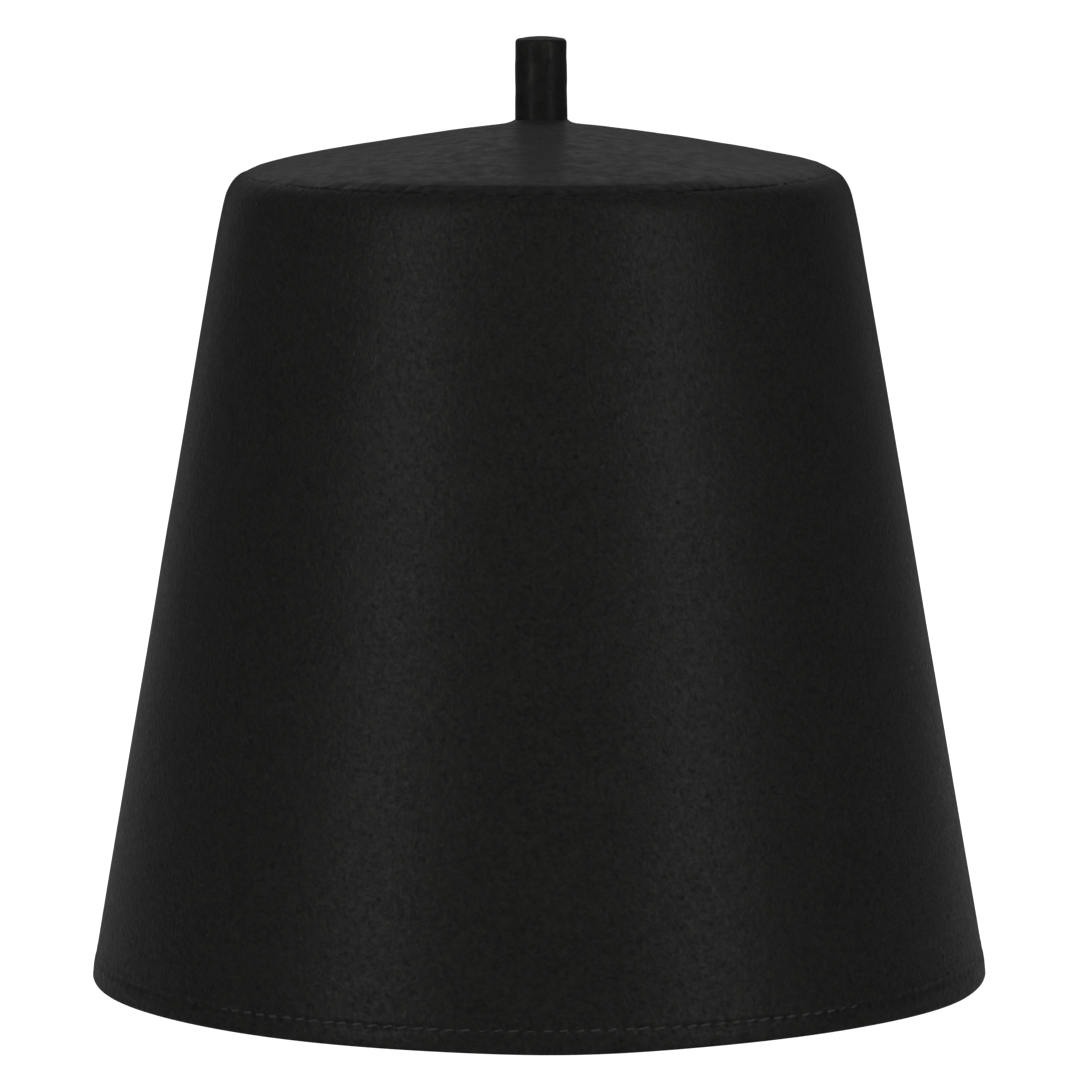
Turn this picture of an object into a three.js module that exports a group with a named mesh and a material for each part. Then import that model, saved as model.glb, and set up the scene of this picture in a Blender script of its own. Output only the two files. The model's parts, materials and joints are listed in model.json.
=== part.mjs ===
// A black felt fez, in millimetres, +Z up. It stands on its rim with the front facing -Y, and the
// origin is the middle of the rim, on the surface that the hat stands on.
//
// The hat is hollow and made of three pieces of the same stiff felt:
//   side_wall  the tapered wall with its rounded shoulder, the bottom edge turned in as a hem
//   crown_top  the shallow domed top, sewn edge to edge to the top of the wall
//   stalk      a short solid stem of rolled felt, standing on the middle of the crown
import * as THREE from "three";

// Felt
const FELT = 2.2; // thickness of every wall
const GAP = 0.3; // clearance between neighbouring pieces

// Side wall
const RIM_RADIUS = 95; // outside, where the line of the wall meets the surface under the hat
const WALL_LEAN = 9.87; // how far the wall leans inwards from the vertical, in degrees
const STRAIGHT_HEIGHT = 155.2; // the wall is straight in profile up to here
const HEM_HEIGHT = 7.5; // how far up the inside the turned-in bottom edge reaches
const RIM_CORNER = 0.5; // rounding of the two corners of the rim

// Shoulder and crown, going up from the straight wall in arcs that meet without a corner. The outline's
// fall is the angle in degrees by which its surface drops below the level, given at each arc's upper end.
const SHOULDER_ARCS = [
  { part: "upper wall", radius: 147, fall: 76.3, steps: 2 },
  { part: "side of the shoulder", radius: 9.4, fall: 53.1, steps: 4 },
  { part: "edge of the shoulder", radius: 5.7, fall: 29, steps: 4 },
  { part: "edge of the crown", radius: 20.6, fall: 11.9, steps: 3 },
  { part: "crown", radius: 558, fall: 6.6, steps: 4 },
];

// Crown seam
const SEAM_FALL = 33; // fall of the shoulder where crown and wall are sewn together
const SEAM_CLEAR_FALL = 2; // the outline's other steps keep this many degrees away from the seam

// Stalk
const STALK_RADIUS = 5.4;
const STALK_TOP = 198.5; // height of its highest point above the surface under the hat
const STALK_TOP_CORNER = 1.3; // rounding round its top
const STALK_DOME = 0.35; // how far the middle of its top rises above the rounded edge
const STALK_FLARE = 0.7; // how far its foot spreads onto the crown
const STALK_FLARE_HEIGHT = 1.1;

// Fineness
const HAT_SIDES = 80;
const STALK_SIDES = 32;
const CORNER_STEPS = 3;

// Falls of a surface that faces straight up, sideways and straight down
const FACING_UP = 0;
const FACING_SIDEWAYS = 90;
const FACING_DOWN = 180;
const WALL_FALL = FACING_SIDEWAYS - WALL_LEAN;

const sine = (degrees) => Math.sin(THREE.MathUtils.degToRad(degrees));
const cosine = (degrees) => Math.cos(THREE.MathUtils.degToRad(degrees));
const tangent = (degrees) => sine(degrees) / cosine(degrees);
const between = (from, to, share) => from + (to - from) * share;

// The outer radius of the straight wall at a height, less a thickness measured square to the wall.
function wallRadius(height, depth = 0) {
  return RIM_RADIUS - height * tangent(WALL_LEAN) - depth / cosine(WALL_LEAN);
}

// Where the outside of the shoulder or crown has the given fall.
function outsideAt(fall) {
  const point = new THREE.Vector2(wallRadius(STRAIGHT_HEIGHT), STRAIGHT_HEIGHT);
  let from = WALL_FALL;
  for (const arc of SHOULDER_ARCS) {
    const to = Math.max(arc.fall, fall);
    point.x += arc.radius * (sine(to) - sine(from));
    point.y += arc.radius * (cosine(to) - cosine(from));
    from = to;
    if (fall >= arc.fall) break;
  }
  return point;
}

// The same place on the inside of the felt.
function insideAt(fall) {
  const outside = outsideAt(fall);
  return new THREE.Vector2(outside.x - FELT * sine(fall), outside.y - FELT * cosine(fall));
}

// The falls at which the arcs are cut into steps, from the top of the straight wall to the crown's middle.
function stepFalls() {
  const falls = [];
  let from = WALL_FALL;
  for (const arc of SHOULDER_ARCS) {
    for (let step = 0; step < arc.steps; step++) falls.push(between(from, arc.fall, step / arc.steps));
    from = arc.fall;
  }
  falls.push(from);
  return falls;
}

// A place beside the seam: along the surface towards the rim, and a depth square to it into the hat.
function besideSeam(along, depth) {
  const seam = outsideAt(SEAM_FALL);
  return new THREE.Vector2(
    seam.x + along * cosine(SEAM_FALL) - depth * sine(SEAM_FALL),
    seam.y - along * sine(SEAM_FALL) - depth * cosine(SEAM_FALL),
  );
}

// A rounded convex corner about a centre, from one fall to another.
function roundCorner(centre, radius, fromFall, toFall) {
  const points = [];
  for (let step = 0; step <= CORNER_STEPS; step++) {
    const fall = between(fromFall, toFall, step / CORNER_STEPS);
    points.push(new THREE.Vector2(centre.x + radius * sine(fall), centre.y + radius * cosine(fall)));
  }
  return points;
}

// A closed profile, in radius and height, turned about the upright axis.
function turned(profile, sides, closesOnItself) {
  const outline = closesOnItself ? [...profile, profile[0].clone()] : profile;
  const geometry = new THREE.LatheGeometry(outline, sides);
  geometry.rotateX(Math.PI / 2);
  return geometry;
}

// The tapered wall: up the outside from the rim, through the felt at the seam, down the inside to the hem.
function sideWallGeometry() {
  const hemFace = 2 * FELT; // the hem is two thicknesses of felt
  const innerCorner = new THREE.Vector2(
    wallRadius(RIM_CORNER, hemFace) + RIM_CORNER / cosine(WALL_LEAN),
    RIM_CORNER,
  );
  const outerCorner = new THREE.Vector2(wallRadius(RIM_CORNER, RIM_CORNER), RIM_CORNER);
  const wallFalls = stepFalls().filter((fall) => fall > SEAM_FALL + SEAM_CLEAR_FALL);
  const hemTop = new THREE.Vector2(wallRadius(HEM_HEIGHT, FELT), HEM_HEIGHT);
  const hemLip = new THREE.Vector2(hemTop.x - FELT * cosine(WALL_LEAN), HEM_HEIGHT - FELT * sine(WALL_LEAN));
  const profile = [
    ...roundCorner(innerCorner, RIM_CORNER, FACING_DOWN + WALL_FALL, FACING_DOWN),
    ...roundCorner(outerCorner, RIM_CORNER, FACING_DOWN, WALL_FALL),
    ...wallFalls.map(outsideAt),
    besideSeam(GAP / 2, 0),
    besideSeam(GAP / 2, FELT),
    ...wallFalls.map(insideAt).reverse(),
    hemTop,
    hemLip,
  ];
  return turned(profile, HAT_SIDES, true);
}

// The crown: from the middle of its inside out to the seam, and back over the outside.
function crownTopGeometry() {
  const crownFalls = stepFalls().filter((fall) => fall < SEAM_FALL - SEAM_CLEAR_FALL).reverse();
  const seat = outsideAt(crownFalls[0]);
  const profile = [
    new THREE.Vector2(0, seat.y - FELT),
    ...crownFalls.map(insideAt),
    besideSeam(-GAP / 2, FELT),
    besideSeam(-GAP / 2, 0),
    ...crownFalls.map(outsideAt).reverse(),
    new THREE.Vector2(0, seat.y),
  ];
  return turned(profile, HAT_SIDES, false);
}

// The stalk: a flat foot just clear of the crown's flat middle, a small flare, and a rounded, domed top.
function stalkGeometry() {
  const foot = outsideAt(stepFalls().at(-1)).y + GAP;
  const edgeTop = STALK_TOP - STALK_DOME;
  const corner = new THREE.Vector2(STALK_RADIUS - STALK_TOP_CORNER, edgeTop - STALK_TOP_CORNER);
  const flare = [];
  for (let step = 0; step <= CORNER_STEPS; step++) {
    const share = step / CORNER_STEPS;
    const spread = STALK_FLARE * (1 - share) ** 2;
    flare.push(new THREE.Vector2(STALK_RADIUS + spread, foot + STALK_FLARE_HEIGHT * share));
  }
  const profile = [
    new THREE.Vector2(0, foot),
    ...flare,
    ...roundCorner(corner, STALK_TOP_CORNER, FACING_SIDEWAYS, FACING_UP),
    new THREE.Vector2(0, STALK_TOP),
  ];
  return turned(profile, STALK_SIDES, false);
}

// One felt mesh, named for what it is.
function feltPiece(name, geometry, color) {
  const material = new THREE.MeshStandardMaterial({ color, roughness: 0.96, metalness: 0 });
  const mesh = new THREE.Mesh(geometry, material);
  mesh.name = name;
  return mesh;
}

const fez = new THREE.Group();
fez.add(feltPiece("side_wall", sideWallGeometry(), "#1f1f1e"));
fez.add(feltPiece("crown_top", crownTopGeometry(), "#222221"));
fez.add(feltPiece("stalk", stalkGeometry(), "#1b1b1a"));

export default fez;
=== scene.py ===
"""A black felt fez on a white floor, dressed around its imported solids.

The hat is turned from one outline: a tapered wall, a rounded shoulder and a shallow crown. Felt skins with
stitch holes, puckers and a rolled stalk replace the plain solids, and sewn thread is modelled in its rows.
Sizes are in millimetres until a mesh is made. An azimuth is in radians from the front (-Y) towards +X.
A length is measured over the outside, from the rim up the wall and in over the crown.
"""

import json
import math

import bpy
import numpy as np
from mathutils import Matrix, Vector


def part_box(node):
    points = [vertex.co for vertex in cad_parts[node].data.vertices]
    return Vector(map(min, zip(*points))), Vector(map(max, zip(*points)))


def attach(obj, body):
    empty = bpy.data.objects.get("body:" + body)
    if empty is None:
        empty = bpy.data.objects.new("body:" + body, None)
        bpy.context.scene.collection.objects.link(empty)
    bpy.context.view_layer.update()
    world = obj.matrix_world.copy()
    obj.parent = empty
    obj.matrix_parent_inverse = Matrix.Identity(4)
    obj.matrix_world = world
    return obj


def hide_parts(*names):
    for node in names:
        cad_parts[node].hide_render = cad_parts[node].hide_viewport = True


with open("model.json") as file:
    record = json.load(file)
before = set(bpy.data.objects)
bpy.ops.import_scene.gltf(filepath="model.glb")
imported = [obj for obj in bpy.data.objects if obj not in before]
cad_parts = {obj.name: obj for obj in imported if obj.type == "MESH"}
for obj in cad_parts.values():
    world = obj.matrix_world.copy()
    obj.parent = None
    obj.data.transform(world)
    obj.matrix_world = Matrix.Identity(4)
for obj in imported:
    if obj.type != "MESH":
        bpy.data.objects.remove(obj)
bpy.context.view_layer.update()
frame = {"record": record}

FELT_TONES = {m["slot"]: m["base_color"] for m in frame["record"]["materials"]}
METRES = 0.001
TURN = 2 * math.pi
SEED = 11

# Outline
FELT = 2.2
RIM_RADIUS = 95.0
WALL_LEAN = math.radians(9.87)
WALL_FALL = math.pi / 2 - WALL_LEAN
STRAIGHT_HEIGHT = 155.2
SHOULDER_ARCS = (
    # radius, fall of the surface at the arc's upper end in degrees
    (147.0, 76.3),
    (9.4, 53.1),
    (5.7, 29.0),
    (20.6, 11.9),
    (558.0, 6.6),
)
SEAM_FALL = 33.0
RIM_ROUNDING = 0.25
HEM_HEIGHT = 7.5
HEM_EDGE_ROUNDING = 0.35

# Sewing
HEM_STITCHES = 180
HEM_STITCH_HEIGHT = 4.36
HEM_STITCH_SPAN = 2.7
HEM_STITCH_SLANT = 0.5
SEAM_STITCHES = 102
SEAM_STITCH_SPAN = 2.0
SEAM_STITCH_SLANT = 0.15
THREAD_RADIUS = 0.3136
SUNK_STRETCHES = (
    # middle azimuth and reach each way in degrees, and how deep the hem's stitches are pressed in there
    (-9.0, 5.0, 0.1),
    (0.0, 6.0, 0.2),
    (9.0, 5.0, 0.16),
    (-38.0, 7.0, 0.1),
    (24.0, 3.0, 0.06),
)
WORN_AZIMUTHS = [math.radians(degrees) for degrees in (38.0, 49.0, 93.0, 105.0)]
WORN_SHARES = (0.0, 1.0, 1.0, 0.0)
WORN_DEPTH = 0.34

# Felt round the hem's stitches: a groove along the row, slits at the stitches' ends, small pillows above
# and below, and a puffed edge. A stitch's end is given as a share of half the pitch.
STITCH_END = 0.78
GROOVE_DEPTH = 0.07
SLIT_DEPTH = 0.36
PILLOW_RISE = 0.05
PUFF_RISE = 0.16
PUFF_LENGTH = 2.4

# The crown's edge beside the seam: a crease this far in, and how much the edge drops and the crease rises.
# Pits lie in the line, deeper in ragged holes and at the stitches. Edge and pits fade by a share towards
# the sides, and the left shoulder is pressed in.
CREASE_OFF = 3.7
CREASE_RISE = 0.12
EDGE_DROP = 0.44
PIT_DEPTH = 0.25
HOLE_DEPTH = 0.7
STITCH_PIT_DEPTH = 0.25
SEAM_FADE = 0.85
PRESSED_AZIMUTH = math.radians(-90.0)
PRESSED_REACH = 0.6
PRESSED_IN = 0.25

# Stalk
STALK_RADIUS = 5.5
STALK_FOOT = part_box("crown_top")[1].z / METRES
STALK_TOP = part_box("stalk")[1].z / METRES
STALK_OFF_AXIS = 0.52
STALK_TOP_CORNER = 0.9
STALK_DOME = 0.45
STALK_TAPER = 0.1
STALK_FOOT_SHIFT = 0.14
COLLAR_RISE = 0.8
COLLAR_SPREAD = 0.9
LAP_AZIMUTH = math.radians(9.6)
LAP_STEP = 0.2
LAP_CUT = 0.3
COIL_CUT = 0.16
STALK_PATCH = 2.4
STALK_PATCH_RISE = 0.07
STALK_PATCHES_ROUND = 13

# Small irregularity of the whole hat, as blocked and hemmed by hand. Everything above the hem's stitches is
# lifted evenly, and the hem's lower edge hangs lower at some azimuths, down to a hair off the floor.
SIDE_LEAN = 0.0029
NAP = 0.1
HEM_LIFT = 1.0
HEM_CLEAR = 0.02
HEM_DROPS = (
    # azimuth and width in degrees, and drop
    (4.0, 14.0, 0.5),
    (74.0, 22.0, 1.0),
    (-76.0, 18.0, 0.48),
    (180.0, 60.0, 1.0),
)

# Camera in metres, turned down to the middle of the hat's front
CAMERA_DISTANCE = 1.480
CAMERA_HEIGHT = 0.27479
CAMERA_SIDE = 0.00056
CAMERA_PITCH = math.radians(7.009)
CAMERA_ROLL = math.radians(-0.22)
CAMERA_LENS = 234.55
SENSOR = 36.0


def outline_table(step=0.1):
    """The outside outline from the rim to the crown's middle: length, radius, height and fall."""
    straight_length = STRAIGHT_HEIGHT / math.cos(WALL_LEAN)
    rows = []
    for length in np.arange(0.0, straight_length, step):
        at_r = RIM_RADIUS - length * math.sin(WALL_LEAN)
        rows.append((length, at_r, length * math.cos(WALL_LEAN), WALL_FALL))
    length, fall = straight_length, WALL_FALL
    r, z = RIM_RADIUS - length * math.sin(WALL_LEAN), STRAIGHT_HEIGHT
    for radius, end_degrees in SHOULDER_ARCS:
        end = math.radians(end_degrees)
        centre_r = r - radius * math.sin(fall)
        centre_z = z - radius * math.cos(fall)
        for turned in np.arange(0.0, fall - end, step / radius):
            angle = fall - turned
            at_r = centre_r + radius * math.sin(angle)
            rows.append((length + radius * turned, at_r, centre_z + radius * math.cos(angle), angle))
        length += radius * (fall - end)
        r = centre_r + radius * math.sin(end)
        z = centre_z + radius * math.cos(end)
        fall = end
    rows.append((length, r, z, fall))
    rows.append((length + r, 0.0, z, 0.0))
    return np.array(rows)


OUTLINE = outline_table()
CROWN_LENGTH = float(OUTLINE[-1, 0])


def length_at_fall(fall):
    """The length at which the outside has that fall in radians."""
    return float(np.interp(-fall, -OUTLINE[:, 3], OUTLINE[:, 0]))


def outline_at(length):
    """Radius, height and fall of the outside at a length."""
    return [np.interp(length, OUTLINE[:, 0], OUTLINE[:, column]) for column in (1, 2, 3)]


SEAM_LENGTH = length_at_fall(math.radians(SEAM_FALL))
HEM_ROW_LENGTH = HEM_STITCH_HEIGHT / math.cos(WALL_LEAN)


def place(azimuth, r, z):
    """Points from azimuth, radius and height."""
    r, z = np.broadcast_to(r, azimuth.shape), np.broadcast_to(z, azimuth.shape)
    return np.stack([r * np.sin(azimuth), -r * np.cos(azimuth), z], axis=-1)


def on_outline(azimuth, length, lift):
    """Points on the plain outside, lifted square off it."""
    r, z, fall = outline_at(length)
    return place(azimuth, r + lift * np.sin(fall), z + lift * np.cos(fall))


# Unevenness


def lattice(seed, rows, columns):
    """Seeded random values from -1 to 1."""
    return np.random.default_rng(SEED * 1000 + seed).uniform(-1, 1, (rows, columns))


def smooth_noise(x, y, values):
    """Smooth noise from -1 to 1, read from a lattice at x and y. It repeats past the last column."""
    rows, columns = values.shape
    x, y = x % columns, np.clip(y, 0.0, rows - 1.001)
    x0, y0 = np.floor(x).astype(int) % columns, np.floor(y).astype(int)
    x1, y1 = (x0 + 1) % columns, y0 + 1
    fx, fy = x - np.floor(x), y - np.floor(y)
    fx, fy = fx * fx * (3 - 2 * fx), fy * fy * (3 - 2 * fy)
    low = values[y0, x0] * (1 - fx) + values[y0, x1] * fx
    high = values[y1, x0] * (1 - fx) + values[y1, x1] * fx
    return low * (1 - fy) + high * fy


def noise_round(azimuth, length, cells_round, cell, seed):
    """Noise on the wall, with whole cells round it."""
    values = lattice(seed, int(CROWN_LENGTH / cell) + 3, cells_round)
    return smooth_noise(azimuth / TURN * cells_round, length / cell, values)


def noise_flat(x, y, cell, seed):
    """Noise on the crown, seen from above."""
    side = int(2 * RIM_RADIUS / cell) + 3
    return smooth_noise((x + RIM_RADIUS) / cell, (y + RIM_RADIUS) / cell, lattice(seed, side, side))


def bell(x, width):
    """1 at 0, and falling off on both sides."""
    return np.exp(-((x / width) ** 2))


def uneven_round(azimuth, length, layers):
    """The sum of layers of noise on the wall, given by depth, cells round it, cell length and seed."""
    return sum(depth * noise_round(azimuth, length, *layer) for depth, *layer in layers)


def uneven_flat(x, y, layers):
    """The sum of layers of noise on the crown, given by depth, cell and seed."""
    return sum(depth * noise_flat(x, y, *layer) for depth, *layer in layers)


def stitch_row(count, seed, wander):
    """Each stitch's azimuth, height off its row, slant as a share of the row's, pull and depth."""
    rng = np.random.default_rng(SEED * 1000 + seed)
    pitch = TURN / count
    return {
        "count": count,
        "azimuth": (np.arange(count) + 0.5 + rng.uniform(-wander, wander, count)) * pitch,
        "height": rng.normal(0, 0.05, count),
        "pull": rng.uniform(0.6, 1.3, count),
        "slant": rng.normal(1, 0.4, count),
        "sink": np.zeros(count),
    }


def wrapped(azimuth):
    """The same azimuths, from minus half a turn to half a turn."""
    return (azimuth + math.pi) % TURN - math.pi


def hem_worn(azimuth):
    """How far the hem's row is worn flat into the felt, from 0 to 1: on the left and right of the front."""
    return np.interp(np.abs(wrapped(azimuth)), WORN_AZIMUTHS, WORN_SHARES)


def sunk_in_places(row):
    """The same row, with stitches pressed into the felt in some stretches and where the row is worn."""
    rng = np.random.default_rng(SEED)
    signed = wrapped(row["azimuth"])
    worn = hem_worn(signed)
    sink = rng.uniform(0, 0.16, row["count"]) + WORN_DEPTH * worn
    for middle, reach, depth in SUNK_STRETCHES:
        near = bell(signed - math.radians(middle), math.radians(reach))
        sink = sink + depth * near * rng.uniform(0.7, 1.3, row["count"])
    return {**row, "sink": sink, "pull": row["pull"] * (1 - 0.75 * worn)}


HEM_ROW = sunk_in_places(stitch_row(HEM_STITCHES, 1, 0.05))
SEAM_ROW = stitch_row(SEAM_STITCHES, 2, 0.12)


def nearest_stitch(azimuth, row):
    """How far each azimuth is from its stitch, as a share of half the pitch, and the stitch's number."""
    pitch = TURN / row["count"]
    number = np.floor(azimuth % TURN / pitch).astype(int) % row["count"]
    return (azimuth % TURN - row["azimuth"][number]) / (pitch / 2), number


def hem_relief(azimuth, length):
    """Felt drawn in along the hem's stitches, with a slit at each of their ends, and puffed out below."""
    along, number = nearest_stitch(azimuth, HEM_ROW)
    off_row = length - HEM_ROW_LENGTH - HEM_ROW["height"][number]
    off_end = np.abs(along) - STITCH_END
    ends = bell(off_end, 0.2)
    groove = -GROOVE_DEPTH * (1 - 0.9 * hem_worn(azimuth)) * bell(off_row, 0.6)
    slits = -SLIT_DEPTH * HEM_ROW["pull"][number] * ends * bell(off_row + 0.3 * off_end, 0.52)
    pillow = PILLOW_RISE * (1 - ends) * bell(np.abs(off_row) - 0.95, 0.45)
    puff = PUFF_RISE * bell(length - PUFF_LENGTH, 1.5)
    return groove + slits + pillow + puff


def seam_relief(azimuth, length):
    """The crown seam: the crown's edge drawn down behind the wall's, with ragged pits and puckers."""
    along, number = nearest_stitch(azimuth, SEAM_ROW)
    off = length - SEAM_LENGTH
    in_line = np.zeros_like(azimuth)
    pull = bell(along, 0.6) * SEAM_ROW["pull"][number]
    holes = np.clip(noise_round(azimuth, in_line, 560, 1.0, 23) * 1.8 - 0.3, 0, 1)
    wander = 0.55 + 0.34 * noise_round(azimuth, in_line, 260, 1.0, 21)
    on_crown = off > 0
    worn = 1.0 - SEAM_FADE * np.clip((np.abs(np.sin(azimuth)) - 0.45) / 0.4, 0, 1)
    turned_down = -(EDGE_DROP + 0.1 * pull) * np.clip(1 - off / CREASE_OFF, 0, 1)
    crease = CREASE_RISE * np.where(off < CREASE_OFF, off / CREASE_OFF, np.exp((CREASE_OFF - off) / 3.0))
    drawn = (worn * turned_down + crease) * on_crown
    depth = PIT_DEPTH + HOLE_DEPTH * holes + STITCH_PIT_DEPTH * np.clip(pull, 0, 1)
    pits = -depth * bell(off - wander, 0.34) * on_crown * worn
    crown_side = uneven_round(azimuth, length, ((0.07, 400, 1.2, 22), (0.06, 700, 0.7, 24)))
    wall_side = uneven_round(azimuth, length, ((0.06, 360, 2.6, 25), (0.03, 620, 0.9, 26)))
    wall_puckers = (0.3 + 0.7 * worn) * wall_side * bell(off + 1.6, 1.6)
    puckers = np.where(on_crown, worn * crown_side * bell(off - 1.6, 1.2), wall_puckers)
    pressed = -PRESSED_IN * bell(azimuth - PRESSED_AZIMUTH, PRESSED_REACH) * bell(off - 5.0, 4.0) * on_crown
    return drawn + pits + puckers + pressed


def wall_relief(azimuth, length):
    """Everything that lifts or sinks the wall's outside."""
    azimuth, length = np.broadcast_arrays(azimuth, length)
    relief = NAP + uneven_round(azimuth, length, ((0.06, 26, 24.0, 31), (0.03, 84, 7.0, 32)))
    if length.max() < 14.0:
        relief = relief + hem_relief(azimuth, length)
    if length.min() > SEAM_LENGTH - 12.0:
        relief = relief + seam_relief(azimuth, length)
    return relief


def crown_relief(azimuth, length):
    """Everything that lifts or sinks the crown's outside."""
    azimuth, length = np.broadcast_arrays(azimuth, length)
    x, y, _ = np.moveaxis(on_outline(azimuth, length, 0.0), -1, 0)
    relief = uneven_flat(x, y, ((0.08, 21.0, 41), (0.06, 7.0, 42), (0.03, 3.6, 43)))
    if length.min() > CROWN_LENGTH - 14.0:
        from_stalk = np.hypot(x - STALK_OFF_AXIS - STALK_FOOT_SHIFT, y) - STALK_RADIUS
        relief = relief + COLLAR_RISE * np.exp(-np.clip(from_stalk, 0, None) / COLLAR_SPREAD)
    if length.min() < SEAM_LENGTH + 12.0:
        relief = relief + seam_relief(azimuth, length)
    return relief


# Making meshes


def azimuths(columns):
    """Azimuths from the back once round to just before the back."""
    return np.arange(columns) / columns * TURN - math.pi


class Skin:
    """Triangles between rings of points. Seen from outside, each next ring is above the last one.

    A ring may have half or twice the columns of the last. Every corner also has a place on the flat felt,
    in millimetres, which the materials read.
    """

    def __init__(self):
        self.points, self.places = [], []
        self.corners, self.corner_places = [], []
        self.point_count, self.place_count = 0, 0
        self.first = self.last = None

    def lay(self, places):
        """Adds places for a ring's columns and its closing column, and gives the number of the first."""
        self.places.append(places)
        self.place_count += len(places)
        return self.place_count - len(places)

    def ring(self, points, places):
        """Adds a ring of points with their places, joined to the last ring."""
        ring = (self.point_count, self.lay(places), len(points))
        self.points.append(points)
        self.point_count += len(points)
        if self.last:
            self.join(self.last, ring)
        self.first, self.last = self.first or ring, ring

    def close(self, places):
        """Joins the last ring to the first one, whose places there are given anew."""
        start, _, columns = self.first
        self.join(self.last, (start, self.lay(places), columns))

    def join(self, low, high):
        """Adds the triangles between two rings, of which the first comes before the second."""
        coarse, fine = sorted((low, high), key=lambda ring: ring[2])
        ratio = fine[2] // coarse[2]
        cell = np.arange(coarse[2])
        near, far = (coarse, cell), (coarse, cell + 1)
        across = [(fine, cell * ratio + k) for k in range(ratio + 1)]
        triangles = [(near, far, across[1]), (near, across[1], across[0])]
        if ratio == 2:
            triangles.append((far, across[2], across[1]))
        for triangle in triangles:
            self.add(triangle if coarse is low else triangle[::-1])

    def add(self, triangle):
        """Adds one triangle for each column, from three pairs of ring and column numbers."""
        self.corners.append(np.stack([ring[0] + column % ring[2] for ring, column in triangle], -1))
        self.corner_places.append(np.stack([ring[1] + column for ring, column in triangle], -1))

    def cap(self, point, spot, below=False):
        """Closes the skin with a point on the axis, under the first ring or over the last one."""
        start, place_start, columns = self.first if below else self.last
        middle = np.full(columns, self.point_count)
        middle_place = np.full(columns, self.lay(np.array([spot])))
        self.points.append(np.array([point]))
        self.point_count += 1
        cell = np.arange(columns)
        corners = [start + cell, start + (cell + 1) % columns, middle]
        spots = [place_start + cell, place_start + cell + 1, middle_place]
        if below:
            corners, spots = corners[::-1], spots[::-1]
        self.corners.append(np.stack(corners, -1))
        self.corner_places.append(np.stack(spots, -1))

    def mesh(self, name):
        """The finished skin as a mesh."""
        corners = np.concatenate(self.corners)
        places = np.concatenate(self.places)[np.concatenate(self.corner_places)]
        return felt_mesh(name, np.concatenate(self.points), corners, places)


def as_worn(points):
    """The points moved from a turned hat to the hand-made one, with its lean and uneven lower edge."""
    moved = points.copy()
    azimuth = np.arctan2(points[:, 0], -points[:, 1])
    drop = np.zeros(len(points))
    for middle, width, depth in HEM_DROPS:
        away = np.abs(azimuth - math.radians(middle))
        drop += depth * bell(np.minimum(away, TURN - away), math.radians(width))
    share = np.clip(1.0 - points[:, 2] / HEM_STITCH_HEIGHT, 0.0, 1.0)
    moved[:, 2] += HEM_LIFT - np.minimum(drop, HEM_LIFT - HEM_CLEAR) * share
    moved[:, 0] += SIDE_LEAN * moved[:, 2]
    return moved


def felt_mesh(name, points, corners, places):
    """A smooth mesh from points in millimetres, triangles, and each corner's place on the flat felt."""
    mesh = bpy.data.meshes.new(name)
    mesh.from_pydata((as_worn(points) * METRES).tolist(), [], corners.tolist())
    layer = mesh.uv_layers.new(name="felt")
    layer.uv.foreach_set("vector", np.asarray(places, np.float32).ravel())
    mesh.shade_smooth()
    return mesh


def add_piece(mesh, material, slot, *nodes):
    """Puts a mesh in the scene as a piece of the hat, in place of the CAD nodes that it stands for."""
    mesh.materials.append(material)
    piece = bpy.data.objects.new(mesh.name, mesh)
    bpy.context.scene.collection.objects.link(piece)
    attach(piece, "root")
    if nodes:
        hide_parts(*nodes)
    return piece


def round_places(columns, along, girth):
    """Places on the flat felt for a ring at a length along it."""
    across = np.arange(columns + 1) / columns * girth
    return np.stack([across, np.full(columns + 1, along)], -1)


def flat_places(points):
    """Places for a ring of the crown, seen from above."""
    return np.concatenate([points, points[:1]])[:, :2]


def corner_points(centre_r, centre_z, radius, from_fall, to_fall, steps):
    """Radius and height round a corner of a profile."""
    falls = np.linspace(from_fall, to_fall, steps)
    return [(centre_r + radius * math.sin(fall), centre_z + radius * math.cos(fall)) for fall in falls]


# Felt pieces

# Columns of a ring
FINE, MEDIUM, COARSE = 1440, 720, 360

# The wall's girth on the flat felt, the gap in the seam, and the length at which the rim's relief is read
WALL_GIRTH = TURN * 80.0
JOIN_GAP = 0.03
RIM_LENGTH = 0.55

INSIDE_UNEVEN = 0.05


def wall_rows():
    """Lengths and columns of the rings on the wall's outside."""
    hem = [(length, FINE) for length in (0.9, 1.4, 1.9, 2.4, 2.8, *np.arange(3.1, 6.2, 0.25), 6.5)]
    above_hem = [(length, MEDIUM) for length in (7.2, 8.4, 10.0, 12.0)]
    middle = [(length, MEDIUM) for length in np.linspace(15.0, SEAM_LENGTH - 17.0, 20)]
    shoulder = [(length, MEDIUM) for length in np.linspace(SEAM_LENGTH - 15.0, SEAM_LENGTH - 4.6, 11)]
    shoulder += [(SEAM_LENGTH - off, MEDIUM) for off in (3.9, 3.3, 2.7)]
    seam_offs = (2.2, 1.8, 1.4, 1.05, 0.75, 0.5, 0.3, 0.15, JOIN_GAP + 0.02, JOIN_GAP)
    seam = [(SEAM_LENGTH - off, FINE) for off in seam_offs]
    return hem + above_hem + middle + shoulder + seam


def wall_radius(height, depth):
    """The straight wall's radius at a height and a depth into the felt."""
    return RIM_RADIUS - height * math.tan(WALL_LEAN) - depth / math.cos(WALL_LEAN)


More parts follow.
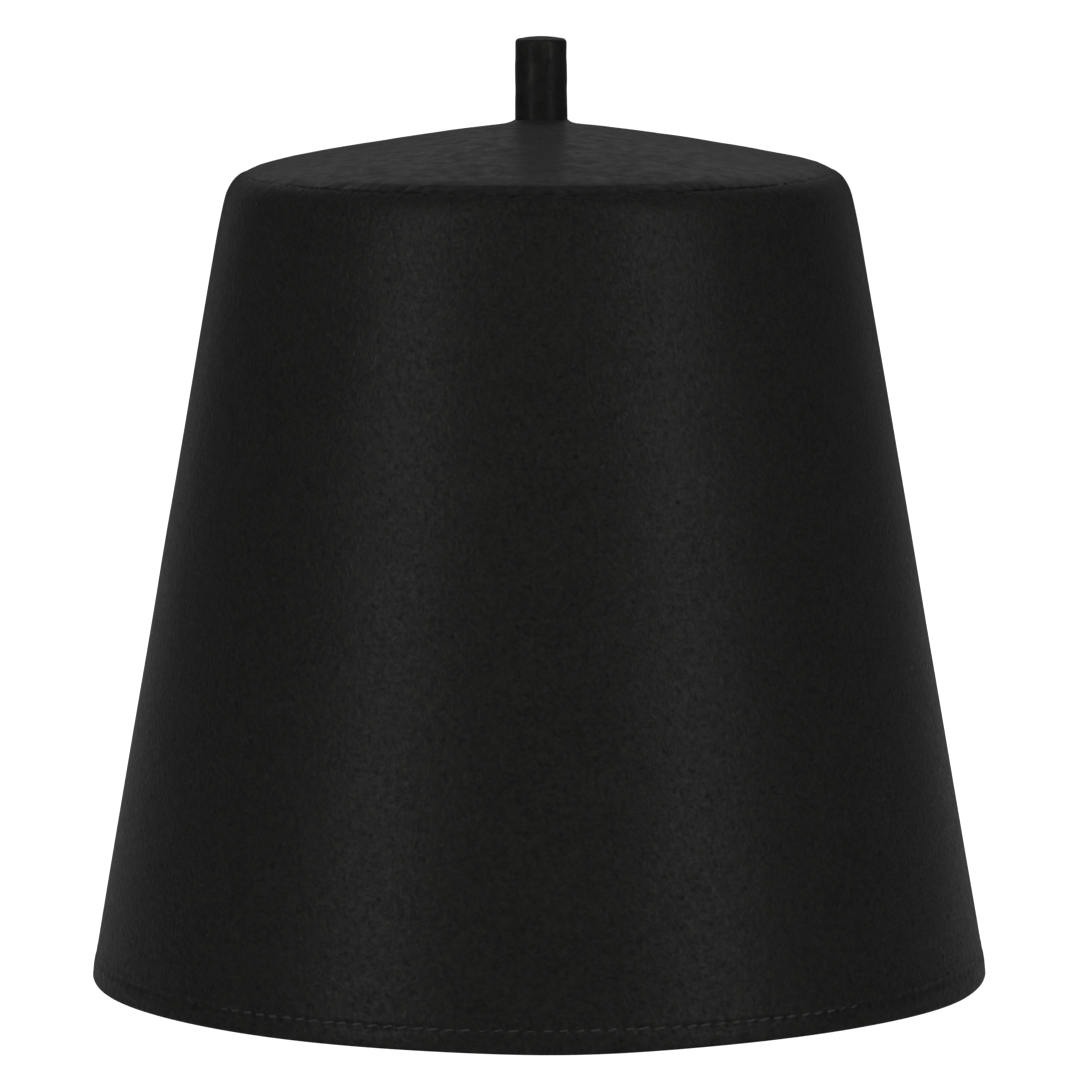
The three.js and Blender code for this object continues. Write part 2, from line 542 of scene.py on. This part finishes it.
def inside_profile():
    """Radius, height and columns down the inside: from the seam to the hem, over its edge, to the rim."""
    rows = []
    for length in [SEAM_LENGTH - JOIN_GAP, *np.linspace(SEAM_LENGTH - 1.0, 12.0, 26)]:
        r, z, fall = outline_at(length)
        columns = MEDIUM if length > SEAM_LENGTH - 0.5 else COARSE
        rows.append((float(r - FELT * np.sin(fall)), float(z - FELT * np.cos(fall)), columns))
    rows.append((wall_radius(HEM_HEIGHT, FELT) - 0.05, HEM_HEIGHT, COARSE))
    edge_r = wall_radius(HEM_HEIGHT, 2 * FELT) + HEM_EDGE_ROUNDING
    edge_z = HEM_HEIGHT - HEM_EDGE_ROUNDING
    edge = corner_points(edge_r, edge_z, HEM_EDGE_ROUNDING, 0.0, WALL_FALL - math.pi, 5)
    rows += [(r, z, COARSE) for r, z in edge]
    for height in np.linspace(HEM_HEIGHT - 1.0, RIM_ROUNDING + 0.5, 10):
        rows.append((wall_radius(height, 2 * FELT), height, COARSE))
    centre_r = wall_radius(RIM_ROUNDING, 2 * FELT - RIM_ROUNDING)
    fold = corner_points(centre_r, RIM_ROUNDING, RIM_ROUNDING, WALL_FALL - math.pi, -math.pi, 5)
    return rows + [(r, z, MEDIUM if z < 0.01 else COARSE) for r, z in fold]


def rim_corner(skin):
    """Rings out under the rim as far as the outside. Gives the length along the felt that they take."""
    corner_r = wall_radius(RIM_ROUNDING, RIM_ROUNDING)
    along = 0.0
    falls = np.linspace(math.pi, WALL_FALL, 7)
    around = azimuths(FINE)
    for step, fall in enumerate(falls):
        share = step / (len(falls) - 1)
        off = RIM_ROUNDING + wall_relief(around, RIM_LENGTH) * share ** 2
        points = place(around, corner_r + off * math.sin(fall), RIM_ROUNDING + off * math.cos(fall))
        skin.ring(points, round_places(FINE, along, WALL_GIRTH))
        along += RIM_ROUNDING * (falls[0] - falls[1])
    return along


def wall_inside(skin, along):
    """Rings down the inside, from the seam to the rim. Gives the length along the felt at the last one."""
    last = None
    for r, z, columns in inside_profile():
        along += math.dist((r, z), last) if last else FELT
        last = (r, z)
        around = azimuths(columns)
        uneven = INSIDE_UNEVEN * noise_round(around, np.full(columns, z), 60, 9.0, 51)
        skin.ring(place(around, r + uneven, z), round_places(columns, along, WALL_GIRTH))
    return along


def wall_mesh():
    """The wall: out under the rim, up the outside to the seam, and back down the inside."""
    skin = Skin()
    start = rim_corner(skin) - RIM_LENGTH
    for length, columns in wall_rows():
        around = azimuths(columns)
        points = on_outline(around, length, wall_relief(around, length))
        skin.ring(points, round_places(columns, start + length, WALL_GIRTH))
    along = wall_inside(skin, start + SEAM_LENGTH)
    skin.close(round_places(FINE, along + FELT, WALL_GIRTH))
    return skin.mesh("felt_wall")


def crown_rows():
    """Lengths and columns of the rings on the crown's outside, from the seam in."""
    near = (JOIN_GAP + 0.02, 0.15, 0.27, 0.39, 0.51, 0.63, 0.76, 0.9, 1.1)
    offs = (*near, 1.4, 1.8, 2.3, 2.8, 3.3, 3.6, 3.8, 4.1, 4.5)
    seam = [(SEAM_LENGTH + off, FINE) for off in offs]
    edge = [(length, MEDIUM) for length in np.linspace(SEAM_LENGTH + 5.2, SEAM_LENGTH + 14.0, 11)]
    top = [(length, COARSE) for length in np.linspace(SEAM_LENGTH + 16.0, CROWN_LENGTH - 28.0, 10)]
    inner = [(length, COARSE // 2) for length in np.linspace(CROWN_LENGTH - 26.0, CROWN_LENGTH - 11.0, 8)]
    collar = [(length, COARSE // 2) for length in np.arange(CROWN_LENGTH - 10.2, CROWN_LENGTH - 4.8, 0.4)]
    middle = [(length, COARSE // 4) for length in (CROWN_LENGTH - 4.0, CROWN_LENGTH - 2.0)]
    return [(SEAM_LENGTH + JOIN_GAP, FINE)] + seam + edge + top + inner + collar + middle


def crown_mesh():
    """The crown: from the middle of its inside out to the seam, and back over the outside."""
    skin = Skin()
    inside = [(CROWN_LENGTH - in_by, COARSE // 4) for in_by in (6.0, 10.0, 14.0)]
    inside += [(CROWN_LENGTH - in_by, COARSE // 2) for in_by in (20.0, 26.0, 32.0)]
    inside += [(length, COARSE) for length in np.linspace(CROWN_LENGTH - 40.0, SEAM_LENGTH + 1.0, 8)]
    inside.append((SEAM_LENGTH + JOIN_GAP, MEDIUM))
    for length, columns in inside:
        points = on_outline(azimuths(columns), np.full(columns, length), -FELT)
        points[:, 2] += INSIDE_UNEVEN * noise_flat(points[:, 0], points[:, 1], 8.0, 52)
        skin.ring(points, flat_places(points))
    for length, columns in crown_rows():
        around = azimuths(columns)
        points = on_outline(around, length, crown_relief(around, length))
        skin.ring(points, flat_places(points))
    top = float(outline_at(CROWN_LENGTH)[1])
    skin.cap((0.0, 0.0, top - FELT), (0.0, 0.0), below=True)
    skin.cap((0.0, 0.0, top), (0.0, 0.0))
    return skin.mesh("felt_crown")


# The stalk's columns and girth, and the steps between its rings
STALK_COLUMNS = 240
STALK_GIRTH = TURN * STALK_RADIUS
SIDE_STEP = 0.4
CORNER_STEP = 0.25
TOP_STEP = 0.2


def stalk_relief(azimuth, height):
    """The lapped edge of the rolled felt and its soft patches."""
    share = (height - STALK_FOOT) / (STALK_TOP - STALK_FOOT)
    from_lap = wrapped(azimuth - LAP_AZIMUTH)
    off_lap = from_lap * STALK_RADIUS
    step = LAP_STEP * share * (0.5 - (from_lap % TURN) / TURN) * np.clip(off_lap * 4, -1, 1) ** 2
    cut = -LAP_CUT * min(1.0, max(0.0, share * 2.5 - 1.3)) * bell(off_lap, 0.26)
    at_height = np.full_like(azimuth, height / STALK_PATCH)
    around = azimuth / TURN * STALK_PATCHES_ROUND
    values = lattice(61, 90, STALK_PATCHES_ROUND)
    patches = STALK_PATCH_RISE * smooth_noise(around, at_height, values)
    return step + cut + patches * min(1.0, (STALK_TOP - height) / 4)


def stalk_top_relief(azimuth, radius):
    """The coil of the rolled felt, seen from above."""
    winding = (radius - STALK_RADIUS) / FELT + (azimuth - LAP_AZIMUTH) / TURN
    off_line = (winding - np.round(winding)) * FELT
    from_middle = np.clip((radius - 0.5) / 0.6, 0, 1)
    from_corner = np.clip((STALK_RADIUS - STALK_TOP_CORNER - radius) / 0.6, 0, 1)
    return -COIL_CUT * bell(off_line, 0.2) * from_middle * from_corner


def stalk_side(skin, around, corner_z):
    """The lapped side, slightly tapered, as far as the corner."""
    for height in STALK_FOOT + np.arange(0.0, corner_z - STALK_FOOT, SIDE_STEP):
        taper = STALK_TAPER * (height - STALK_FOOT) / (STALK_TOP - STALK_FOOT)
        r = STALK_RADIUS - taper + stalk_relief(around, height)
        skin.ring(place(around, r, height), round_places(STALK_COLUMNS, height - STALK_FOOT, STALK_GIRTH))


def stalk_corner(skin, around, corner_z):
    """The rounded corner between side and top. Gives the length along the felt at its last ring."""
    along = corner_z - STALK_FOOT
    for fall in np.linspace(math.pi / 2, 0.0, 9)[1:]:
        r = STALK_RADIUS - STALK_TAPER - STALK_TOP_CORNER + STALK_TOP_CORNER * math.sin(fall)
        r = r + stalk_relief(around, corner_z) * math.sin(fall)
        z = corner_z + STALK_TOP_CORNER * math.cos(fall)
        along += CORNER_STEP
        skin.ring(place(around, r, z), round_places(STALK_COLUMNS, along, STALK_GIRTH))
    return along


def stalk_top(skin, around, along):
    """The low dome of the top with its coil, closed in the middle."""
    inner = STALK_RADIUS - STALK_TAPER - STALK_TOP_CORNER
    for radius in np.arange(inner - TOP_STEP, TOP_STEP, -TOP_STEP):
        rise = STALK_DOME * (1 - (radius / inner) ** 2)
        z = STALK_TOP - STALK_DOME + rise + stalk_top_relief(around, radius)
        along += TOP_STEP
        skin.ring(place(around, radius, z), round_places(STALK_COLUMNS, along, STALK_GIRTH))
    skin.cap((0.0, 0.0, STALK_TOP), (STALK_GIRTH / 2, along + TOP_STEP))


def stalk_mesh():
    """The stalk: a tapered lapped side and a rounded top, a little to the side of the hat's middle."""
    skin = Skin()
    around = azimuths(STALK_COLUMNS)
    corner_z = STALK_TOP - STALK_DOME - STALK_TOP_CORNER
    stalk_side(skin, around, corner_z)
    along = stalk_corner(skin, around, corner_z)
    stalk_top(skin, around, along)
    skin.cap((0.0, 0.0, STALK_FOOT), (STALK_GIRTH / 2, 0.0), below=True)
    for points in skin.points:
        below_top = (STALK_TOP - points[:, 2]) / (STALK_TOP - STALK_FOOT)
        points[:, 0] += STALK_OFF_AXIS + STALK_FOOT_SHIFT * below_top
    return skin.mesh("felt_stalk")


# Thread

THREAD_SIDES = 6
STITCH_STEPS = 11


def tubes(centres, normals, sideways, radii):
    """Closed tubes along many paths at once: arrays of path, step and axis. Gives points and triangles."""
    paths, steps, _ = centres.shape
    angle = np.arange(THREAD_SIDES) / THREAD_SIDES * TURN
    spoke = normals[:, :, None] * np.cos(angle)[:, None] + sideways[:, :, None] * np.sin(angle)[:, None]
    points = centres[:, :, None] + spoke * radii[None, :, None, None]
    side = np.arange(THREAD_SIDES)
    ahead = (side + 1) % THREAD_SIDES
    triangles = []
    for step in range(steps - 1):
        here, there = step * THREAD_SIDES, (step + 1) * THREAD_SIDES
        triangles.append(np.stack([here + side, here + ahead, there + ahead], -1))
        triangles.append(np.stack([here + side, there + ahead, there + side], -1))
    fan = np.arange(1, THREAD_SIDES - 1)
    last = (steps - 1) * THREAD_SIDES
    triangles.append(np.stack([np.zeros_like(fan), fan + 1, fan], -1))
    triangles.append(np.stack([np.full_like(fan, last), last + fan, last + fan + 1], -1))
    one = np.concatenate(triangles)
    offsets = np.arange(paths)[:, None, None] * steps * THREAD_SIDES
    return points.reshape(-1, 3), (one[None] + offsets).reshape(-1, 3)


def stitches(row, length, span, slant, crest, sunk, depth=0.0):
    """A row of stitches, outside or at a depth inside. Crest and sunk are lifts at middle and ends."""
    t = np.linspace(-1, 1, STITCH_STEPS)
    r, _, fall = outline_at(length)
    azimuth = row["azimuth"][:, None] + t * span / 2 / r
    lengths = length + row["height"][:, None] + slant / 2 * t * row["slant"][:, None]
    lift = (crest - row["sink"])[:, None] - (crest - sunk) * np.abs(t) ** 3
    centres = on_outline(azimuth, lengths, lift - depth)
    side = -1.0 if depth else 1.0
    normals = side * place(azimuth, np.sin(fall), np.cos(fall))
    sideways = np.cross(np.gradient(centres, axis=1), normals)
    sideways /= np.linalg.norm(sideways, axis=-1, keepdims=True)
    radii = THREAD_RADIUS * np.clip(1.25 - np.abs(t) ** 4, 0.25, 1.0)
    return tubes(centres, normals, sideways, radii)


def thread_mesh(name, *rows):
    """One mesh from rows of stitches. Its places on the felt run round the hat and up it."""
    points, triangles, count = [], [], 0
    for row_points, row_triangles in rows:
        points.append(row_points)
        triangles.append(row_triangles + count)
        count += len(row_points)
    points, corners = np.concatenate(points), np.concatenate(triangles)
    around = np.arctan2(points[:, 0], -points[:, 1]) * RIM_RADIUS
    places = np.stack([around, points[:, 2]], -1)[corners]
    return felt_mesh(name, points, corners, places)


# Materials

# The circle of the seam in millimetres, its middle in metres, and how far in the painted shade of its holes
# lies
SEAM_RADIUS = float(outline_at(SEAM_LENGTH)[0])
SEAM_MIDDLE = (SIDE_LEAN * float(outline_at(SEAM_LENGTH)[1]) * METRES, 0.0, 0.0)
PAINTED_SHADE_OFF = 0.15

# Shading of the felt, its relief in metres, and its darkest and palest parts as shares of its tone
SPECULAR = 0.09
SHEEN = 0.098
ROUGHNESS = 0.38
BUMP_DEPTH = 0.000024
DARKEST, PALEST = 0.45, 1.9
THREAD_PALEST = 2.2
NOISE_RANGE = (0.3, 0.7)


class Graph:
    """A node material built by short calls. Values are numbers, colours or other nodes' outputs."""

    def __init__(self, name):
        self.material = bpy.data.materials.new(name)
        self.material.use_nodes = True
        self.tree = self.material.node_tree
        self.shader = self.tree.nodes["Principled BSDF"]

    def node(self, kind, inputs, **settings):
        """A new node with its settings and inputs."""
        node = self.tree.nodes.new(kind)
        for name, value in settings.items():
            setattr(node, name, value)
        self.set(node, inputs)
        return node

    def set(self, node, inputs):
        """Gives a node's inputs their values, or links them to other nodes."""
        for name, value in inputs.items():
            if isinstance(value, bpy.types.NodeSocket):
                self.tree.links.new(value, node.inputs[name])
            else:
                node.inputs[name].default_value = value

    def math(self, operation, a, b=0.0):
        """A sum, a product or the like of two numbers."""
        return self.node("ShaderNodeMath", {0: a, 1: b}, operation=operation).outputs[0]

    def vector(self, operation, a, b):
        """A sum, a product or the like of two vectors."""
        return self.node("ShaderNodeVectorMath", {0: a, 1: b}, operation=operation).outputs[0]

    def total(self, values):
        """The sum of several values."""
        so_far = values[0]
        for value in values[1:]:
            so_far = self.math("ADD", so_far, value)
        return so_far

    def spread(self, value, low, high, to_low, to_high):
        """Maps a value from one range to another, held at its ends."""
        ends = {"Value": value, "From Min": low, "From Max": high, "To Min": to_low, "To Max": to_high}
        return self.node("ShaderNodeMapRange", ends).outputs[0]

    def either_way(self, value, amount):
        """A noise's usual range mapped to an amount below and above 0."""
        return self.spread(value, *NOISE_RANGE, -amount, amount)

    def noise(self, vector, scale, detail=2.0, dimensions="3D"):
        """Soft noise from 0 to 1, mostly near a half."""
        inputs = {"Vector": vector, "Scale": scale, "Detail": detail, "Roughness": 0.55}
        return self.node("ShaderNodeTexNoise", inputs, noise_dimensions=dimensions).outputs[0]

    def blend(self, share, low, high):
        """A colour between two, by a share."""
        mix = self.node("ShaderNodeMix", {}, data_type="RGBA")
        self.set(mix, {0: share, 6: (*low, 1.0), 7: (*high, 1.0)})
        return mix.outputs[2]


# Turn from the wall's upright direction in degrees, and share of the whole
FLECK_LAYERS = ((3.0, 1.0), (38.0, 0.9), (-34.0, 0.9), (88.0, 0.9), (-66.0, 0.8), (17.0, 0.8), (62.0, 0.8))
FLECK_WIDTH = 0.74
FLECK_LENGTH = 1.8
FLECK_BEND = 0.9
FLECK_HEIGHTS = (
    # noise at which a fleck starts and is full, and its height
    (0.66, 0.82, 1.1),
    (0.32, 0.17, -0.88),
)
LINT_CELL = 5.0
LINT_RADIUS = 0.035


def fleck_field(graph, place_on_felt):
    """Short curved flecks at several angles, above 0 where fibres lie on top and below 0 where they dip."""
    bend_inputs = {"Vector": place_on_felt, "Scale": 0.55, "Detail": 1.0}
    bends = graph.node("ShaderNodeTexNoise", bend_inputs).outputs["Color"]
    bend = graph.vector("MULTIPLY", graph.vector("SUBTRACT", bends, (0.5, 0.5, 0.5)), (FLECK_BEND,) * 3)
    curved = graph.vector("ADD", place_on_felt, bend)
    flecks = []
    for number, (degrees, share) in enumerate(FLECK_LAYERS):
        turned = graph.node(
            "ShaderNodeMapping",
            {
                "Vector": curved,
                "Location": (7.3 * number, 3.1 * number, 0.0),
                "Rotation": (0.0, 0.0, math.radians(degrees)),
                "Scale": (FLECK_WIDTH, FLECK_LENGTH, 1.0),
            },
            vector_type="TEXTURE",
        ).outputs[0]
        noise = graph.noise(turned, 1.0, 0.0, "2D")
        for start, full, height in FLECK_HEIGHTS:
            flecks.append(graph.spread(noise, start, full, 0.0, height * share))
    return graph.total(flecks)


def lint_specks(graph, place_on_felt):
    """Sparse tiny specks of pale lint, from 0 to 1."""
    inputs = {"Vector": place_on_felt, "Scale": 1.0 / LINT_CELL}
    cells = graph.node("ShaderNodeTexVoronoi", inputs, voronoi_dimensions="2D").outputs
    speck = graph.spread(cells["Distance"], LINT_RADIUS * 0.5, LINT_RADIUS, 1.0, 0.0)
    chosen = graph.spread(cells["Color"], 0.5, 0.7, 0.0, 1.0)
    return graph.math("MULTIPLY", speck, chosen)


def painted_seam_shade(graph, in_space):
    """Painted shade for the crown seam's stitch holes, where shadow would fall, from 0 to 1, by the
    distance in from the seam's circle.
    """
    from_middle = graph.vector("SUBTRACT", in_space, SEAM_MIDDLE)
    flat = graph.vector("MULTIPLY", from_middle, (1.0, 1.0, 0.0))
    radius = graph.node("ShaderNodeVectorMath", {0: flat}, operation="LENGTH").outputs[1]
    off = graph.math("MULTIPLY", graph.math("SUBTRACT", SEAM_RADIUS * METRES, radius), 1 / METRES)
    wander = graph.either_way(graph.noise(in_space, 330.0, 1.0), 0.4)
    apart = graph.math("ABSOLUTE", graph.math("ADD", graph.math("SUBTRACT", off, PAINTED_SHADE_OFF), wander))
    line = graph.spread(apart, 0.2, 0.65, 1.0, 0.0)
    holes = graph.spread(graph.noise(in_space, 880.0, 1.0), 0.4, 0.56, 0.05, 1.0)
    aside = graph.math("ABSOLUTE", graph.node("ShaderNodeSeparateXYZ", {0: flat}).outputs[0])
    faded = graph.spread(aside, 0.5 * SEAM_RADIUS * METRES, 0.85 * SEAM_RADIUS * METRES, 1.0, 0.2)
    return graph.math("MULTIPLY", graph.math("MULTIPLY", line, holes), faded)


def felt_marks(graph):
    """Everything that varies over the felt, in cells for a metre or flat on the felt."""
    on_felt = graph.node("ShaderNodeUVMap", {}, uv_map="felt").outputs[0]
    in_space = graph.node("ShaderNodeTexCoord", {}).outputs["Object"]
    return {
        "flecks": fleck_field(graph, on_felt),
        "lint": lint_specks(graph, on_felt),
        "patches": graph.noise(in_space, 110.0, 3.0),
        "blotches": graph.noise(in_space, 330.0, 2.0),
        "grain": graph.noise(in_space, 1500.0, 1.0),
        # painted shade in the seam's stitch holes
        "painted_shade": painted_seam_shade(graph, in_space),
    }


def felt_colour(graph, base, marks, nap, mottle):
    """Between a dark and a pale black, paler where fibres lie on top, and darkened by painted shade in the
    seam's holes.
    """
    layers = (
        graph.spread(marks["patches"], *NOISE_RANGE, 0.33, 0.43),
        graph.math("MULTIPLY", marks["flecks"], 0.15 * nap),
        graph.either_way(marks["blotches"], 0.12 * mottle),
        graph.spread(marks["grain"], 0.25, 0.75, -0.07 * nap, 0.07 * nap),
        marks["lint"],
    )
    dark = [value * DARKEST for value in base]
    pale = [value * PALEST for value in base]
    # Painted shade: the colour is darkened in the seam's stitch holes, where shadow would fall.
    after_painted_shade = graph.math("SUBTRACT", 1.0, graph.math("MULTIPLY", marks["painted_shade"], 0.9))
    inputs = {0: graph.blend(graph.total(layers), dark, pale), "Scale": after_painted_shade}
    return graph.node("ShaderNodeVectorMath", inputs, operation="SCALE").outputs[0]


def felt_roughness(graph, marks, nap, mottle):
    """Smoother where fibres lie on top, and rough in the seam's holes."""
    by_flecks = graph.math("SUBTRACT", ROUGHNESS, graph.math("MULTIPLY", marks["flecks"], 0.055 * nap))
    by_blotches = graph.either_way(marks["blotches"], -0.045 * mottle)
    return graph.total((by_flecks, by_blotches, graph.math("MULTIPLY", marks["painted_shade"], 0.4)))


def felt_bump(graph, marks, nap, mottle):
    """The fine relief of flecks and grain over a broader unevenness."""
    flecks_and_grain = graph.math("ADD", marks["flecks"], graph.math("MULTIPLY", marks["grain"], 0.4))
    fine = graph.math("MULTIPLY", flecks_and_grain, 0.6 * nap)
    patches = graph.math("MULTIPLY", marks["patches"], 1.5)
    blotches = graph.math("MULTIPLY", marks["blotches"], 2.2 * mottle)
    height = graph.math("ADD", fine, graph.math("ADD", patches, blotches))
    inputs = {"Height": height, "Strength": 1.0, "Distance": BUMP_DEPTH}
    return graph.node("ShaderNodeBump", inputs).outputs[0]


def felt_material(slot, nap=1.0, mottle=0.5):
    """Black pressed wool felt with short matted flecks, blotches and a soft sheen at its edges."""
    graph = Graph("matted_" + slot)
    marks = felt_marks(graph)
    graph.set(
        graph.shader,
        {
            "Base Color": felt_colour(graph, FELT_TONES[slot], marks, nap, mottle),
            "Roughness": felt_roughness(graph, marks, nap, mottle),
            "Specular IOR Level": SPECULAR,
            "Sheen Weight": SHEEN,
            "Sheen Roughness": 0.5,
            "Normal": felt_bump(graph, marks, nap, mottle),
        },
    )
    return graph.material


# Hairs of the thread on the flat felt, and their relief in metres
HAIR_TURN = math.radians(24.0)
HAIR_SIZE = (0.9, 0.09, 1.0)
HAIR_DEPTH = 0.00004


def thread_material():
    """Black sewing thread, a little glossier than the felt, with fine hairs along it."""
    graph = Graph("black_thread")
    on_felt = graph.node("ShaderNodeUVMap", {}, uv_map="felt").outputs[0]
    turned = {"Vector": on_felt, "Rotation": (0.0, 0.0, HAIR_TURN), "Scale": HAIR_SIZE}
    hairs = graph.node("ShaderNodeMapping", turned, vector_type="TEXTURE").outputs[0]
    strands = graph.noise(hairs, 1.0, 2.0, "2D")
    base = FELT_TONES["thread"]
    pale = [value * THREAD_PALEST for value in base]
    bump = graph.node("ShaderNodeBump", {"Height": strands, "Strength": 1.0, "Distance": HAIR_DEPTH})
    graph.set(
        graph.shader,
        {
            "Base Color": graph.blend(strands, base, pale),
            "Roughness": graph.spread(strands, *NOISE_RANGE, 0.5, 0.38),
            "Specular IOR Level": 0.4,
            "Sheen Weight": 0.08,
            "Normal": bump.outputs[0],
        },
    )
    return graph.material


# Stage


def add_camera():
    """The camera in front of the hat, turned a little down."""
    data = bpy.data.cameras.new("camera")
    data.sensor_width = SENSOR
    data.lens = CAMERA_LENS
    data.clip_end = 100.0
    camera = bpy.data.objects.new("camera", data)
    turned = Matrix.Rotation(math.pi / 2 - CAMERA_PITCH, 4, "X") @ Matrix.Rotation(CAMERA_ROLL, 4, "Z")
    camera.matrix_world = Matrix.Translation((CAMERA_SIDE, -CAMERA_DISTANCE, CAMERA_HEIGHT)) @ turned
    bpy.context.scene.collection.objects.link(camera)
    bpy.context.scene.camera = camera


ROOM_GLOW = 0.004
FLOOR_GLOW = 0.04
SEEN_WHITE = 1.1
FLOOR_SIDE = 8.0


def glow(tree, seen, felt):
    """A strength as the camera sees it, and another as the hat feels it."""
    path = tree.nodes.new("ShaderNodeLightPath")
    strength = tree.nodes.new("ShaderNodeMapRange")
    strength.inputs["To Min"].default_value = felt
    strength.inputs["To Max"].default_value = seen
    tree.links.new(path.outputs["Is Camera Ray"], strength.inputs["Value"])
    return strength.outputs[0]


def white_world():
    """A white room: pure white behind the hat, and a faint light all round it."""
    world = bpy.data.worlds.new("white_room")
    world.use_nodes = True
    tree = world.node_tree
    background = tree.nodes["Background"]
    background.inputs["Color"].default_value = (1.0, 1.0, 1.0, 1.0)
    tree.links.new(glow(tree, SEEN_WHITE, ROOM_GLOW), background.inputs["Strength"])
    bpy.context.scene.world = world


def white_floor():
    """A white table top that glows as white as the room behind it to the camera, and only faintly to the
    hat.
    """
    half = FLOOR_SIDE / 2
    mesh = bpy.data.meshes.new("floor")
    corners = [(-half, -half, 0), (half, -half, 0), (half, half, 0), (-half, half, 0)]
    mesh.from_pydata(corners, [], [(0, 1, 2, 3)])
    material = bpy.data.materials.new("white_table")
    material.use_nodes = True
    tree = material.node_tree
    shader = tree.nodes["Principled BSDF"]
    shader.inputs["Base Color"].default_value = (0.85, 0.85, 0.85, 1.0)
    shader.inputs["Roughness"].default_value = 0.9
    shader.inputs["Specular IOR Level"].default_value = 0.1
    shader.inputs["Emission Color"].default_value = (1.0, 1.0, 1.0, 1.0)
    tree.links.new(glow(tree, SEEN_WHITE, FLOOR_GLOW), shader.inputs["Emission Strength"])
    mesh.materials.append(material)
    floor = bpy.data.objects.new("floor", mesh)
    bpy.context.scene.collection.objects.link(floor)


LIGHT_DISTANCE = 1.6
LIGHT_AIM = 0.09


def add_soft_box(name, azimuth, elevation, width, height, power):
    """A soft box turned to the hat, out of the camera's sight."""
    data = bpy.data.lights.new(name, "AREA")
    data.shape = "RECTANGLE"
    data.size, data.size_y = width, height
    data.energy = power
    light = bpy.data.objects.new(name, data)
    x = LIGHT_DISTANCE * math.cos(elevation) * math.sin(azimuth)
    y = -LIGHT_DISTANCE * math.cos(elevation) * math.cos(azimuth)
    z = LIGHT_DISTANCE * math.sin(elevation) + LIGHT_AIM
    turned = Matrix.Rotation(azimuth, 4, "Z") @ Matrix.Rotation(math.pi / 2 - elevation, 4, "X")
    light.matrix_world = Matrix.Translation((x, y, z)) @ turned
    light.visible_camera = False
    bpy.context.scene.collection.objects.link(light)


SOFT_BOXES = (
    # name, azimuths from the front, elevation in degrees, width and height in metres, watts at each azimuth
    ("front_strip", (-42.0, 42.0), 12.0, 0.28, 1.2, (4.32, 4.22)),
    ("side_strip", (-54.0, 54.0), 12.0, 0.3, 1.2, (1.0, 0.95)),
    ("front_box", (-41.0, 41.0), 45.0, 0.7, 0.7, (1.75, 1.7)),
    ("edge_strip", (-150.0, 150.0), 12.0, 0.3, 1.2, (0.24, 0.17)),
    ("edge_box", (-150.0, 150.0), 45.0, 0.7, 0.7, (0.6, 0.56)),
    ("low_back_box", (180.0,), 25.0, 1.1, 0.4, (0.36,)),
    ("back_box", (180.0,), 45.0, 1.1, 0.7, (0.26,)),
)


def add_lights():
    """Strips at both sides of the front make the wall's soft bands. Boxes behind light edges and crown."""
    for name, sides, elevation, width, height, powers in SOFT_BOXES:
        for side, power in zip(sides, powers):
            angles = math.radians(side), math.radians(elevation)
            add_soft_box(f"{name}_{side:.0f}", *angles, width, height, power)


# The hat

add_camera()
white_world()
white_floor()
add_lights()
bpy.context.scene.view_settings.view_transform = "Standard"

add_piece(wall_mesh(), felt_material("wall_felt"), "wall_felt", "side_wall")
add_piece(crown_mesh(), felt_material("crown_felt", nap=0.4, mottle=2.3), "crown_felt", "crown_top")
add_piece(stalk_mesh(), felt_material("stalk_felt", nap=0.5, mottle=1.8), "stalk_felt", "stalk")
THREAD_LOOK = thread_material()
hem_line = HEM_ROW, HEM_ROW_LENGTH, HEM_STITCH_SPAN
hem_outside = stitches(*hem_line, slant=HEM_STITCH_SLANT, crest=0.13, sunk=-0.5)
hem_inside = stitches(*hem_line, slant=0.0, crest=-0.04, sunk=0.5, depth=2 * FELT)
add_piece(thread_mesh("hem_stitches", hem_outside, hem_inside), THREAD_LOOK, "thread")
seam_line = SEAM_ROW, SEAM_LENGTH, SEAM_STITCH_SPAN, SEAM_STITCH_SLANT
seam_outside = stitches(*seam_line, crest=-1.2, sunk=-1.7)
seam_inside = stitches(*seam_line, crest=-0.04, sunk=0.42, depth=FELT)
add_piece(thread_mesh("seam_stitches", seam_outside, seam_inside), THREAD_LOOK, "thread")
